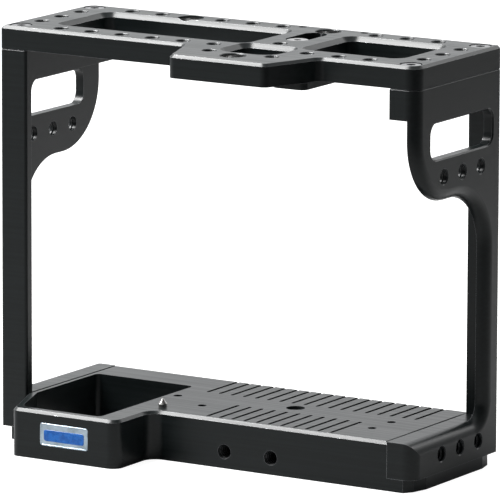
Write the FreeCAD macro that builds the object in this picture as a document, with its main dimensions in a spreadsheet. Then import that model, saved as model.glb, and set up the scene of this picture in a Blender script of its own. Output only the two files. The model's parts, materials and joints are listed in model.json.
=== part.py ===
import FreeCAD, Part
import math
import os
import Sketcher
from FreeCAD import Placement, Rotation, Vector

# A camera cage: a top plate and a base plate joined by two side plates, with a shoe clamp
# that slides in the top plate, a captive camera screw and a sprung locating pin in the base.
# Millimetres, +Z up, the cage's front towards -Y, its width along X, its foot on Z = 0.
# The side plates share one design: the left one is the right one turned half round about Z.

os.makedirs("parts", exist_ok=True)
doc = FreeCAD.newDocument("CameraCage")

# ---------------------------------------------------------------- driving dimensions
DIMENSIONS = {
    # the cage as a whole
    "width": 171.0, "depth": 58.2, "height": 149.4, "nose": 22.6, "pitch": 12.7,
    # plates
    "top_thick": 8.2, "base_thick": 17.4, "side_thick": 10.8, "web_thick": 3.8,
    "lip_thick": 4.5, "lip_inset": 0.5, "lip_cut_x": 3.8, "lip_cut_y": 9.6,
    "lip_knee_x": 1.5, "lip_knee_y": 3.4,
    "big_corner": 4.6, "small_corner": 1.0, "edge_chamfer": 1.0, "window_chamfer": 1.6,
    "seam_chamfer": 0.4, "mouth_chamfer": 0.3,
    # threads: a quarter inch, three eighths of an inch, and the bores that take them
    "quarter_bore": 5.3, "quarter_screw": 6.2, "insert_bore": 9.4, "insert_across": 9.36, "insert_core": 7.94,
    "insert_inset": 6.7, "insert_sink": 0.7, "insert_length": 6.4,
    # top plate
    "row_inset": 5.85, "column_inset": 6.8, "mount_x": 19.05,
    "tab_root": 27.5, "tab_tip": 19.5, "tab_corner": 3.0, "tab_hole_y": -7.1,
    "tab_big_hole_y": -12.0, "bridge_hole_y": 19.05,
    "window_corner": 5.0, "window_front": 12.1, "window_back": 47.5,
    "left_window_start": -71.3, "left_window_end": 9.0,
    "right_window_start": 30.0, "right_window_end": 71.9,
    "tab_window_half": 12.0, "tab_window_front": -6.2, "tab_window_back": 15.0,
    "tab_window_round": 6.8, "tab_window_corner": 4.5,
    "pin_hole": 3.0, "pin_hole_inset": 3.0, "pin_hole_deep": 5.0,
    "slot_wide": 8.6, "slot_narrow": 5.4, "slot_sink": 4.4, "slot_start": 30.8,
    "slot_travel": 11.7,
    # corner screws and locating dowels
    "screw_inset_x": 5.4, "screw_inset_y": 5.3, "screw_shank": 4.0, "screw_bore": 4.3,
    "screw_tapped": 4.04, "head_across": 7.0, "head_tall": 4.0, "head_bore": 8.0,
    "head_sink": 4.2, "socket_across": 3.0, "socket_deep": 2.2, "screw_length": 12.0,
    "tapped_deep": 9.2, "dowel_across": 3.0, "dowel_bore": 3.03, "dowel_inset_y": 11.7, "dowel_half": 4.0,
    "foot_screw_inset_y": 7.2, "foot_head_tall": 2.2, "foot_head_sink": 2.5,
    "foot_screw_length": 10.0, "foot_dowel_inset_y": 13.2, "foot_dowel_half": 3.0,
    # side plates
    "arch_low": 99.3, "arch_round": 24.0, "arch_hollow": 20.0, "foot_hollow": 6.0,
    "hollow_corner": 4.5, "hollow_open": 2.0,
    "post_deep": 9.6, "rim_deep": 3.5, "flange_thick": 10.9, "side_round": 4.6,
    "side_window_front": 10.2, "side_window_back": 53.0, "side_window_low": 115.2,
    "side_window_high": 127.9, "side_window_corner": 4.0, "side_window_chamfer": 0.5,
    "side_row_y": 32.0, "left_row_y": 27.9, "side_row_high": 108.6, "side_row_low": 10.8, "foot_hole_deep": 9.0,
    # base plate
    "nose_left_x": -65.6, "nose_left_corner": 3.2, "nose_right": -22.0,
    "nose_corner": 4.0, "nose_hollow": 5.0,
    "bay_left": -72.3, "bay_right": -31.0, "bay_back": 42.4, "bay_diagonal_y": 3.0,
    "bay_front_x": -64.6, "bay_front_y": -17.4, "bay_flat_x": -62.4, "bay_front": -19.2,
    "bay_corner": 2.0, "groove_wide": 1.4, "groove_deep": 0.7, "groove_pitch": 5.06,
    "groove_long": 21.0, "rear_groove_x": -21.5, "rear_groove_y": 36.6,
    "front_groove_x": -0.1, "front_groove_y": 2.4, "front_pair_x": 18.0,
    "front_pair_half": 9.525, "front_pair_high": 6.0, "front_pair_deep": 10.0,
    "small_hole": 3.2, "small_hole_deep": 8.0, "under_hole_deep": 9.0, "under_shift": 25.4,
    # captive camera screw
    "camera_y": 30.6, "camera_bore": 6.8, "camera_well": 14.0, "camera_well_deep": 13.3,
    "camera_head": 13.4, "coin_slot_over": 2.0, "camera_head_tall": 4.5, "camera_head_low": 1.6,
    "camera_washer": 12.6, "camera_washer_hole": 6.36, "camera_washer_thick": 0.8,
    "camera_tip_high": 16.2, "coin_slot_wide": 2.0, "coin_slot_deep": 1.8,
    "ring_groove": 15.4, "ring_across": 15.2, "ring_hole": 11.0, "ring_low": 0.4,
    "ring_thick": 0.9, "ring_play": 0.05,
    # sprung locating pin
    "pin_x": -21.6, "pin_y": 7.0, "pin_across": 3.1, "pin_bore": 3.2, "pin_high": 20.4,
    "pin_point": 1.8, "pin_tip": 0.5, "flange_across": 5.0, "flange_bore": 5.12,
    "flange_low": 12.6, "flange_high": 14.6, "plug_low": 0.2, "plug_high": 4.0,
    "plug_across": 5.08, "plug_socket": 2.0, "plug_socket_deep": 1.6,
    "spring_mean": 3.9, "spring_wire": 0.5, "spring_turns": 6.0,
    # shoe clamp
    "clamp_half": 26.4, "clamp_thick": 2.4, "clamp_front": -8.0, "clamp_back": 40.0,
    "clamp_corner": 2.5, "clamp_notch_half": 13.0, "clamp_notch_back": 16.6,
    "shoe_neck_half": 6.2, "shoe_neck_tall": 1.6, "shoe_half": 9.3, "shoe_tall": 1.9,
    "shoe_front": 22.0, "shoe_long": 18.0, "clamp_shank": 4.9, "clamp_bore": 5.02,
    "clamp_head": 7.6, "clamp_head_tall": 3.5, "clamp_screw_low": 136.4,
    "clamp_socket": 2.5, "clamp_socket_deep": 1.8, "foot_socket_deep": 1.4, "washer_across": 8.2, "washer_thick": 0.6, "washer_hole": 5.1,
    # badge
    "badge_left": -54.0, "badge_right": -34.0, "badge_low": 5.2, "badge_high": 13.3,
    "badge_thick": 0.4, "badge_corner": 1.0,
}
SMALL_HOLES = [(-27.2, 25.8), (-11.0, 16.3), (59.6, 28.6), (58.9, 16.6)]
HEXAGON = 1 / math.sqrt(3)      # a hexagon's corner radius over its width across flats

sheet = doc.addObject("Spreadsheet::Sheet", "Sizes")
for row, (alias, number) in enumerate(DIMENSIONS.items(), start=1):
    sheet.set(f"A{row}", alias)
    sheet.set(f"B{row}", str(number))
    sheet.setAlias(f"B{row}", alias)
doc.recompute()


class Length:
    """A number of millimetres together with the spreadsheet formula that gives it."""

    def __init__(self, value, formula):
        self.value, self.formula = value, formula

    def __add__(self, other):
        other = length(other)
        return Length(self.value + other.value, f"({self.formula} + {other.formula})")

    def __sub__(self, other):
        other = length(other)
        return Length(self.value - other.value, f"({self.formula} - {other.formula})")

    def __mul__(self, factor):
        return Length(self.value * factor, f"({self.formula} * ({factor}))")

    def __truediv__(self, divisor):
        return Length(self.value / divisor, f"({self.formula} / {divisor})")

    def __neg__(self):
        return Length(-self.value, f"(0 - {self.formula})")


def length(item):
    """A Length from a Length, a cell's alias or a plain number."""
    if isinstance(item, Length):
        return item
    if isinstance(item, str):
        return Length(DIMENSIONS[item], f"Sizes.{item}")
    return Length(float(item), f"({item})")


def bind(feature, name, size):
    """Set a property to a Length and keep it bound to the spreadsheet."""
    setattr(feature, name, length(size).value)
    feature.setExpression(name, length(size).formula)


# ---------------------------------------------------------------- bodies and sketches
def new_body(label, x=0.0, y=None, z=0.0, turned=False):
    """A body whose own Y = 0 is the cage's front face; turned gives it half a turn about Z."""
    body = doc.addObject("PartDesign::Body", label)
    body.Label = label
    turn = Rotation(Vector(0, 0, 1), 180 if turned else 0)
    spot = (length(x), FRONT if y is None else length(y), length(z))
    body.Placement = Placement(Vector(*[part.value for part in spot]), turn)
    for letter, part in zip("xyz", spot):
        body.setExpression(f".Placement.Base.{letter}", part.formula)
    return body


def sketch_on(body, role, offset=0.0):
    """An empty sketch on one of the body's origin planes, moved along the plane's normal."""
    plane = next(item for item in body.Origin.OriginFeatures if item.Role == role)
    sketch = body.newObject("Sketcher::SketchObject", f"{body.Name}_sketch")
    sketch.AttachmentSupport = [(plane, "")]
    sketch.MapMode = "FlatFace"
    offset = length(offset)
    sketch.AttachmentOffset = Placement(Vector(0, 0, offset.value), Rotation())
    sketch.setExpression(".AttachmentOffset.Base.z", offset.formula)
    return sketch


def fix_point(sketch, geometry, position, x, y):
    """Hold a point of the sketch at (x, y) from its origin, both bound to the sheet."""
    for kind, size in (("DistanceX", x), ("DistanceY", y)):
        rule = sketch.addConstraint(
            Sketcher.Constraint(kind, -1, 1, geometry, position, length(size).value))
        sketch.setExpression(f"Constraints[{rule}]", length(size).formula)


def outline(sketch, points):
    """A closed outline of straight lines through the points."""
    spots = [(length(x), length(y)) for x, y in points]
    first = sketch.GeometryCount
    for (x0, y0), (x1, y1) in zip(spots, spots[1:] + spots[:1]):
        sketch.addGeometry(Part.LineSegment(Vector(x0.value, y0.value, 0),
                                            Vector(x1.value, y1.value, 0)), False)
    for index in range(len(spots)):
        following = first + (index + 1) % len(spots)
        sketch.addConstraint(Sketcher.Constraint("Coincident", first + index, 2, following, 1))
    for index, (x, y) in enumerate(spots):
        fix_point(sketch, first + index, 1, x, y)
    return sketch


def rectangle(sketch, x0, y0, x1, y1):
    return outline(sketch, [(x0, y0), (x1, y0), (x1, y1), (x0, y1)])


def rounded_rectangle(sketch, x0, y0, x1, y1, low_round, high_round=None):
    """A rectangle with round corners: one radius on its low side, another on its high side."""
    x0, y0, x1, y1, low = [length(item) for item in (x0, y0, x1, y1, low_round)]
    high = low if high_round is None else length(high_round)
    right_angle = math.pi / 2
    corners = [(x0 + low, y0 + low, low, 2), (x1 - low, y0 + low, low, 3),
               (x1 - high, y1 - high, high, 0), (x0 + high, y1 - high, high, 1)]
    first = sketch.GeometryCount
    arcs = []
    for x, y, radius, quarter in corners:
        circle = Part.Circle(Vector(x.value, y.value, 0), Vector(0, 0, 1), radius.value)
        arcs.append(Part.ArcOfCircle(circle, quarter * right_angle, (quarter + 1) * right_angle))
    for arc, following in zip(arcs, arcs[1:] + arcs[:1]):
        sketch.addGeometry(arc, False)
        sketch.addGeometry(Part.LineSegment(arc.EndPoint, following.StartPoint), False)
    for index in range(8):
        following = first + (index + 1) % 8
        sketch.addConstraint(Sketcher.Constraint("Tangent", first + index, 2, following, 1))
    for index, (x, y, radius, _) in enumerate(corners):
        fix_point(sketch, first + 2 * index, 3, x, y)
        rule = sketch.addConstraint(
            Sketcher.Constraint("Radius", first + 2 * index, radius.value))
        sketch.setExpression(f"Constraints[{rule}]", radius.formula)
    return sketch


def circles(sketch, centres, across):
    """Circles of one diameter."""
    across = length(across)
    first = sketch.GeometryCount
    for index, (x, y) in enumerate(centres):
        x, y = length(x), length(y)
        sketch.addGeometry(Part.Circle(Vector(x.value, y.value, 0), Vector(0, 0, 1),
                                       across.value / 2), False)
        fix_point(sketch, first + index, 3, x, y)
        if index:
            sketch.addConstraint(Sketcher.Constraint("Equal", first, first + index))
    rule = sketch.addConstraint(Sketcher.Constraint("Diameter", first, across.value))
    sketch.setExpression(f"Constraints[{rule}]", across.formula)
    return sketch


def round_slot(sketch, x, y0, y1, wide):
    """A slot along Y with round ends centred on (x, y0) and (x, y1)."""
    x, y0, y1, radius = length(x), length(y0), length(y1), length(wide) / 2
    half_turn, upward = math.pi, Vector(0, 0, 1)
    low, high = Vector(x.value, y0.value, 0), Vector(x.value, y1.value, 0)
    across = Vector(radius.value, 0, 0)
    first = sketch.GeometryCount
    sketch.addGeometry(Part.ArcOfCircle(Part.Circle(high, upward, radius.value),
                                        0, half_turn), False)
    sketch.addGeometry(Part.LineSegment(high - across, low - across), False)
    sketch.addGeometry(Part.ArcOfCircle(Part.Circle(low, upward, radius.value),
                                        half_turn, 2 * half_turn), False)
    sketch.addGeometry(Part.LineSegment(low + across, high + across), False)
    for index in range(4):
        following = first + (index + 1) % 4
        sketch.addConstraint(Sketcher.Constraint("Tangent", first + index, 2, following, 1))
    fix_point(sketch, first, 3, x, y1)
    fix_point(sketch, first + 2, 3, x, y0)
    rule = sketch.addConstraint(Sketcher.Constraint("Radius", first, radius.value))
    sketch.setExpression(f"Constraints[{rule}]", radius.formula)
    return sketch


# ---------------------------------------------------------------- features
def pad(body, sketch, tall, reverse=False):
    feature = body.newObject("PartDesign::Pad", f"{body.Name}_pad")
    feature.Profile = sketch
    bind(feature, "Length", tall)
    feature.Reversed = reverse
    doc.recompute()
    return feature


def pocket(body, sketch, deep=None, reverse=False):
    """Cut against the sketch's normal, or along it if reversed; no depth means through."""
    before = body.Shape.Volume
    feature = body.newObject("PartDesign::Pocket", f"{body.Name}_pocket")
    feature.Profile = sketch
    if deep is None:
        feature.Type = "ThroughAll"
    else:
        bind(feature, "Length", deep)
    feature.Reversed = reverse
    doc.recompute()
    if body.Shape.Volume > before - 0.01:
        raise RuntimeError(f"{feature.Label} cuts nothing")
    return feature


def dress(body, kind, wanted, size):
    """A Fillet or Chamfer on the edges of the body's last feature that the test picks."""
    base = body.Tip
    names = [f"Edge{number}" for number, edge in enumerate(base.Shape.Edges, start=1)
             if wanted(edge)]
    if not names:
        raise RuntimeError(f"{body.Label}: no edge to dress")
    feature = body.newObject(f"PartDesign::{kind}", f"{body.Name}_{kind.lower()}")
    feature.Base = (base, names)
    bind(feature, "Radius" if kind == "Fillet" else "Size", size)
    doc.recompute()
    if "Invalid" in feature.State:
        raise RuntimeError(f"{feature.Label} failed")
    return feature


def near(a, b, slack=0.02):
    return abs(a - b) < slack


def straight_at(axis, u, v):
    """Picks a straight edge along X or Z whose two other coordinates are u and v."""
    u, v = length(u).value, length(v).value

    def wanted(edge):
        box = edge.BoundBox
        if axis == "Z":
            return box.XLength + box.YLength < 0.02 and near(box.XMin, u) and near(box.YMin, v)
        return box.YLength + box.ZLength < 0.02 and near(box.YMin, u) and near(box.ZMin, v)
    return wanted


def any_of(*tests):
    return lambda edge: any(test(edge) for test in tests)


def level_in_box(z, x0, y0, x1, y1):
    """Picks the edges that lie level at z inside a rectangle of the plan."""
    z, x0, y0, x1, y1 = [length(item).value for item in (z, x0, y0, x1, y1)]

    def wanted(edge):
        box = edge.BoundBox
        return (box.ZLength < 0.02 and near(box.ZMin, z) and box.XMin > x0 - 0.1
                and box.XMax < x1 + 0.1 and box.YMin > y0 - 0.1 and box.YMax < y1 + 0.1)
    return wanted


def level_circle(z, across):
    """Picks the full circles of one diameter that lie level at z."""
    z, radius = length(z).value, length(across).value / 2

    def wanted(edge):
        curve = edge.Curve
        return (isinstance(curve, Part.Circle) and near(edge.BoundBox.ZMin, z)
                and edge.BoundBox.ZLength < 0.02 and near(curve.Radius, radius, 0.005)
                and edge.Length > 6.2 * radius)
    return wanted


def facing_circle(x, across):
    """Picks the full circles of one diameter that lie in the plane at x."""
    x, radius = length(x).value, length(across).value / 2

    def wanted(edge):
        curve = edge.Curve
        return (isinstance(curve, Part.Circle) and near(edge.BoundBox.XMin, x)
                and edge.BoundBox.XLength < 0.02 and near(curve.Radius, radius, 0.005))
    return wanted


# ---------------------------------------------------------------- lengths used by several parts
HALF = length("width") / 2
DEPTH = length("depth")
FRONT = (length("nose") - DEPTH) / 2
PLATE_LOW = length("height") - "top_thick"
MOUNT_X = length("mount_x")
SCREW_X = HALF - "screw_inset_x"
INNER = HALF - "side_thick"
ROW_FRONT, ROW_BACK = length("row_inset"), DEPTH - "row_inset"


def grid_x(step):
    """The X of a place on the accessory grid, counted from the middle."""
    return length("pitch") * step


TOP_QUARTER = ([(grid_x(step), ROW_FRONT) for step in (-5, -4, -3, -2, -1, 0, 3, 4, 5)]
               + [(grid_x(step), ROW_BACK) for step in (-5, -4, -2, -1, 0, 3, 4, 5)]
               + [(side, DEPTH / 2 + grid_x(step))
                  for side in (length("column_inset") - HALF, HALF - "column_inset")
                  for step in (-1, 0, 1)]
               + [(MOUNT_X - "pitch", "tab_hole_y"), (MOUNT_X + "pitch", "tab_hole_y"),
                  (MOUNT_X, "bridge_hole_y")])
TOP_INSERTS = [(grid_x(-3), DEPTH - "insert_inset"), (MOUNT_X, DEPTH - "insert_inset"),
               (MOUNT_X, "tab_big_hole_y")]
UNDER_INSERTS = [(MOUNT_X - "under_shift", "camera_y"), (MOUNT_X + "under_shift", "camera_y")]


def both_ends(inset):
    """The four places of a corner fastener, at one inset from the front and the back."""
    return [(side, y) for side in (-SCREW_X, SCREW_X)
            for y in (length(inset), DEPTH - inset)]


# ---------------------------------------------------------------- top plate
def top_plate():
    body = new_body("top_plate", z=PLATE_LOW)
    thick = length("top_thick")
    root, tip = length("tab_root"), length("tab_tip")
    nose = -length("nose")
    plan = [(-HALF, 0), (MOUNT_X - root, 0), (MOUNT_X - tip, nose), (MOUNT_X + tip, nose),
            (MOUNT_X + root, 0), (HALF, 0), (HALF, DEPTH), (-HALF, DEPTH)]
    pad(body, outline(sketch_on(body, "XY_Plane"), plan), thick)
    dress(body, "Fillet", any_of(straight_at("Z", HALF, 0), straight_at("Z", -HALF, DEPTH)),
          "big_corner")
    dress(body, "Fillet", any_of(straight_at("Z", -HALF, 0), straight_at("Z", HALF, DEPTH)),
          "small_corner")
    dress(body, "Fillet", any_of(*[straight_at("Z", x, y) for x, y in plan[1:5]]),
          "tab_corner")
    dress(body, "Chamfer", level_in_box(thick, -HALF, nose, HALF, DEPTH), "edge_chamfer")

    bevel = length("window_chamfer")
    windows = [
        ("left_window_start", "window_front", "left_window_end", "window_back",
         "window_corner", "window_corner"),
        ("right_window_start", "window_front", "right_window_end", "window_back",
         "window_corner", "window_corner"),
        (MOUNT_X - "tab_window_half", "tab_window_front", MOUNT_X + "tab_window_half",
         "tab_window_back", "tab_window_round", "tab_window_corner")]
    for window in windows:
        x0, y0, x1, y1, low, high = [length(size) for size in window]
        pocket(body, rounded_rectangle(sketch_on(body, "XY_Plane", thick), x0 + bevel,
                                       y0 + bevel, x1 - bevel, y1 - bevel, low - bevel,
                                       high - bevel))
    dress(body, "Chamfer", any_of(*[level_in_box(thick, *window[:4]) for window in windows]),
          bevel)

    pocket(body, circles(sketch_on(body, "XY_Plane", thick), TOP_QUARTER, "quarter_bore"))
    pocket(body, circles(sketch_on(body, "XY_Plane", thick), TOP_INSERTS, "insert_bore"))
    dress(body, "Chamfer", any_of(level_circle(thick, "quarter_bore"),
                                  level_circle(thick, "insert_bore")), "mouth_chamfer")
    pocket(body, circles(sketch_on(body, "XY_Plane", thick), both_ends("screw_inset_y"),
                         "screw_bore"))
    pocket(body, circles(sketch_on(body, "XY_Plane", thick), both_ends("screw_inset_y"),
                         "head_bore"), "head_sink")
    pocket(body, circles(sketch_on(body, "XY_Plane"), both_ends("dowel_inset_y"),
                         "dowel_bore"), "dowel_half", reverse=True)
    pin_y = DEPTH - "pin_hole_inset"
    pocket(body, circles(sketch_on(body, "XY_Plane", thick),
                         [(MOUNT_X - "pitch", pin_y), (MOUNT_X + "pitch", pin_y)],
                         "pin_hole"), "pin_hole_deep")
    slot_end = length("slot_start") + "slot_travel"
    pocket(body, round_slot(sketch_on(body, "XY_Plane", thick), MOUNT_X, "slot_start",
                            slot_end, "slot_wide"), "slot_sink")
    pocket(body, round_slot(sketch_on(body, "XY_Plane", thick), MOUNT_X, "slot_start",
                            slot_end, "slot_narrow"))
    return body


# ---------------------------------------------------------------- side plates
def side_plate(label, turned):
    """The right-hand plate in its own frame. The left-hand one is turned half round and is
    the same but for its upper row of holes, which stands a little nearer to the post."""
    body = new_body(label, y=FRONT + DEPTH if turned else FRONT, turned=turned)
    post, flange = DEPTH - "post_deep", PLATE_LOW - "flange_thick"
    foot, rim = length("base_thick"), DEPTH - "rim_deep"
    side = [(0, "lip_thick"), (DEPTH, "lip_thick"), (DEPTH, PLATE_LOW), (0, PLATE_LOW),
            (0, "arch_low"), (post, "arch_low"), (post, foot), (0, foot)]
    pad(body, outline(sketch_on(body, "YZ_Plane", INNER), side), "side_thick")
    dress(body, "Fillet", straight_at("X", 0, "arch_low"), "arch_round")
    dress(body, "Fillet", straight_at("X", post, "arch_low"), "arch_hollow")
    dress(body, "Fillet", straight_at("X", post, foot), "foot_hollow")
    dress(body, "Fillet", any_of(straight_at("Z", HALF, 0)), "side_round")
    dress(body, "Fillet", any_of(straight_at("Z", HALF, DEPTH), straight_at("Z", INNER, DEPTH)),
          "small_corner")

    hollow = rectangle(sketch_on(body, "YZ_Plane", INNER), -length("hollow_open"), foot,
                       rim, flange)
    pocket(body, hollow, length("side_thick") - "web_thick", reverse=True)
    dress(body, "Fillet", straight_at("X", rim, flange), "hollow_corner")
    dress(body, "Chamfer", level_in_box(PLATE_LOW, INNER, 0, HALF, DEPTH), "seam_chamfer")
    window = rounded_rectangle(sketch_on(body, "YZ_Plane", INNER), "side_window_front",
                               "side_window_low", "side_window_back", "side_window_high",
                               "side_window_corner")
    pocket(body, window, reverse=True)

    def window_rim(edge):
        box, low, high = edge.BoundBox, DIMENSIONS["side_window_low"], DIMENSIONS["side_window_high"]
        return (near(box.XMin, HALF.value) and box.XLength < 0.02
                and box.ZMin > low - 0.1 and box.ZMax < high + 0.1
                and box.YMin > DIMENSIONS["side_window_front"] - 0.1
                and box.YMax < DIMENSIONS["side_window_back"] + 0.1)
    dress(body, "Chamfer", window_rim, "side_window_chamfer")

    middle = DEPTH - "left_row_y" if turned else length("side_row_y")
    row = [middle + grid_x(step) for step in (-1, 0, 1)]
    pocket(body, circles(sketch_on(body, "YZ_Plane", HALF),
                         [(y, "side_row_high") for y in row], "quarter_bore"))
    pocket(body, circles(sketch_on(body, "YZ_Plane", HALF),
                         [(length("side_row_y") + grid_x(step), "side_row_low")
                          for step in (-1, 0, 1)], "quarter_bore"), "foot_hole_deep")
    dress(body, "Chamfer", facing_circle(HALF, "quarter_bore"), "mouth_chamfer")

    def right_side(spots):
        return [(x, y) for x, y in spots if x.value > 0]
    pocket(body, circles(sketch_on(body, "XY_Plane", PLATE_LOW),
                         right_side(both_ends("screw_inset_y")), "screw_tapped"), "tapped_deep")
    pocket(body, circles(sketch_on(body, "XY_Plane", PLATE_LOW),
                         right_side(both_ends("dowel_inset_y")), "dowel_bore"), "dowel_half")
    pocket(body, circles(sketch_on(body, "XY_Plane", "lip_thick"),
                         right_side(both_ends("foot_screw_inset_y")), "screw_tapped"),
           "tapped_deep", reverse=True)
    pocket(body, circles(sketch_on(body, "XY_Plane", "lip_thick"),
                         right_side(both_ends("foot_dowel_inset_y")), "dowel_bore"),
           "foot_dowel_half", reverse=True)
    return body


# ---------------------------------------------------------------- base plate
def base_plate():
    body = new_body("base_plate")
    thick, nose = length("base_thick"), -length("nose")
    plan = [(-INNER, 0), ("nose_left_x", nose), ("nose_right", nose), ("nose_right", 0),
            (INNER, 0), (INNER, DEPTH), (-INNER, DEPTH)]
    pad(body, outline(sketch_on(body, "XY_Plane"), plan), thick)
    dress(body, "Fillet", straight_at("Z", *plan[1]), "nose_left_corner")
    dress(body, "Fillet", straight_at("Z", *plan[2]), "nose_corner")
    dress(body, "Fillet", straight_at("Z", *plan[3]), "nose_hollow")
    dress(body, "Chamfer", level_in_box(thick, -HALF, nose, HALF, DEPTH), "edge_chamfer")

    lip = HALF - "lip_inset"
    corner = [(lip - "lip_cut_x", length(0)), (lip - "lip_knee_x", length("lip_knee_y")),
              (lip, length("lip_cut_y"))]
    right = corner + [(x, DEPTH - y) for x, y in reversed(corner)]
    foot_plan = right + [(-x, y) for x, y in reversed(right)]
    pad(body, outline(sketch_on(body, "XY_Plane"), foot_plan), "lip_thick")

    bay = [("bay_left", "bay_diagonal_y"), ("bay_front_x", "bay_front_y"),
           ("bay_flat_x", "bay_front"), ("bay_right", "bay_front"),
           ("bay_right", "bay_back"), ("bay_left", "bay_back")]
    pocket(body, outline(sketch_on(body, "XY_Plane", thick), bay))
    dress(body, "Fillet", any_of(*[straight_at("Z", x, y) for x, y in bay]), "bay_corner")

    for x, y, count in (("rear_groove_x", "rear_groove_y", 18),
                        ("front_groove_x", "front_groove_y", 11)):
        start = length(y) + length("groove_wide") / 2
        end = length(y) + "groove_long" - length("groove_wide") / 2
        profile = round_slot(sketch_on(body, "XY_Plane", thick), x, start, end, "groove_wide")
        groove = pocket(body, profile, "groove_deep")
        row = body.newObject("PartDesign::LinearPattern", "groove_row")
        row.Originals = [groove]
        row.Direction = (profile, ["H_Axis"])
        row.Occurrences = count
        bind(row, "Length", length("groove_pitch") * (count - 1))
        body.Tip = row
        doc.recompute()

    pocket(body, circles(sketch_on(body, "XY_Plane", thick), SMALL_HOLES, "small_hole"),
           "small_hole_deep")
    front_pair = [(length("front_pair_x") - "front_pair_half", "front_pair_high"),
                  (length("front_pair_x") + "front_pair_half", "front_pair_high")]
    pocket(body, circles(sketch_on(body, "XZ_Plane"), front_pair, "quarter_bore"),
           "front_pair_deep")
    camera = [(MOUNT_X, "camera_y")]
    pocket(body, circles(sketch_on(body, "XY_Plane", thick), camera, "camera_bore"))
    pocket(body, circles(sketch_on(body, "XY_Plane"), camera, "camera_well"),
           "camera_well_deep", reverse=True)
    ring_groove = circles(sketch_on(body, "XY_Plane", "ring_low"), camera, "ring_groove")
    pocket(body, ring_groove, length("ring_thick") + length("ring_play") * 2, reverse=True)
    pin = [("pin_x", "pin_y")]
    pocket(body, circles(sketch_on(body, "XY_Plane", thick), pin, "pin_bore"))
    pocket(body, circles(sketch_on(body, "XY_Plane"), pin, "flange_bore"), "flange_high",
           reverse=True)
    pocket(body, circles(sketch_on(body, "XY_Plane"), UNDER_INSERTS, "insert_bore"),
           "under_hole_deep", reverse=True)
    under_quarter = [(x, length("camera_y") - "pitch") for x, _ in UNDER_INSERTS]
    pocket(body, circles(sketch_on(body, "XY_Plane"), under_quarter, "quarter_bore"),
           "under_hole_deep", reverse=True)
    pocket(body, circles(sketch_on(body, "XY_Plane"), both_ends("foot_screw_inset_y"),
                         "screw_bore"), "lip_thick", reverse=True)
    pocket(body, circles(sketch_on(body, "XY_Plane"), both_ends("foot_screw_inset_y"),
                         "head_bore"), "foot_head_sink", reverse=True)
    pocket(body, circles(sketch_on(body, "XY_Plane", "lip_thick"),
                         both_ends("foot_dowel_inset_y"), "dowel_bore"), "foot_dowel_half")
    recess = rounded_rectangle(sketch_on(body, "XZ_Plane", "nose"), "badge_left",
                               "badge_low", "badge_right", "badge_high", "badge_corner")
    pocket(body, recess, "badge_thick")
    return body


# ---------------------------------------------------------------- small turned parts
def primitive(kind, name, x, y, z, **sizes):
    """A Part primitive at a place in the cage's frame, its sizes bound to the sheet."""
    item = doc.addObject(f"Part::{kind}", name)
    for key, size in sizes.items():
        bind(item, key, size)
    spot = (length(x), FRONT + y, length(z))
    item.Placement = Placement(Vector(*[part.value for part in spot]), Rotation())
    for letter, part in zip("xyz", spot):
        item.setExpression(f".Placement.Base.{letter}", part.formula)
    return item


def cylinder(name, x, y, z, across, tall):
    return primitive("Cylinder", name, x, y, z, Radius=length(across) / 2, Height=tall)


def hexagon(name, x, y, z, across, tall):
    """A hexagonal prism, the across-flats size given; it cuts a hexagon socket."""
    item = primitive("Prism", name, x, y, z, Circumradius=length(across) * HEXAGON,
                     Height=tall)
    item.Polygon = 6
    return item


def fuse(label, items):
    result = doc.addObject("Part::MultiFuse", label)
    result.Shapes = items
    result.Label = label
    return result


def cut(label, base, tool):
    result = doc.addObject("Part::Cut", label)
    result.Base, result.Tool = base, tool
    result.Label = label
    return result


def group(label, items):
    """Separate solids that share one part file."""
    result = doc.addObject("Part::Compound", label)
    result.Links = items
    result.Label = label
    return result


def top_corner_screws():
    """Socket-head screws, heads sunk in the top plate, shanks in the side plates."""
    screws = []
    for number, (x, y) in enumerate(both_ends("screw_inset_y"), start=1):
        seat = length("height") - "head_sink"
        head = cylinder(f"top_head_{number}", x, y, seat, "head_across", "head_tall")
        shank = cylinder(f"top_shank_{number}", x, y, seat - "screw_length", "screw_shank",
                         "screw_length")
        socket = hexagon(f"top_socket_{number}", x, y,
                         seat + "head_tall" - "socket_deep", "socket_across", "socket_deep")
        screws.append(cut(f"top_screw_{number}", fuse(f"top_blank_{number}", [head, shank]),
                          socket))
    return group("top_corner_screws", screws)


def base_corner_screws():
    """Low-head screws driven up through the base plate's lips into the side plates' feet."""
    screws = []
    for number, (x, y) in enumerate(both_ends("foot_screw_inset_y"), start=1):
        seat = length("foot_head_sink")
        low = seat - "foot_head_tall"
        head = cylinder(f"foot_head_{number}", x, y, low, "head_across", "foot_head_tall")
        shank = cylinder(f"foot_shank_{number}", x, y, seat, "screw_shank",
                         "foot_screw_length")
        socket = hexagon(f"foot_socket_{number}", x, y, low, "clamp_socket",
                         "foot_socket_deep")
        screws.append(cut(f"foot_screw_{number}", fuse(f"foot_blank_{number}", [head, shank]),
                          socket))
    return group("base_corner_screws", screws)


def dowels(label, inset, middle, half):
    pins = [cylinder(f"{label}_{number}", x, y, length(middle) - half, "dowel_across",
                     length(half) * 2)
            for number, (x, y) in enumerate(both_ends(inset), start=1)]
    return group(label, pins)


def thread_inserts(label, spots, low):
    """Steel tubes that line the three-eighths holes."""
    tubes = []
    for number, (x, y) in enumerate(spots, start=1):
        y = length(y)
        outer = cylinder(f"{label}_outer_{number}", x, y, low, "insert_across",
                         "insert_length")
        inner = cylinder(f"{label}_inner_{number}", x, y, low, "insert_core", "insert_length")
        tubes.append(cut(f"{label}_{number}", outer, inner))
    return group(label, tubes)


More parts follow.
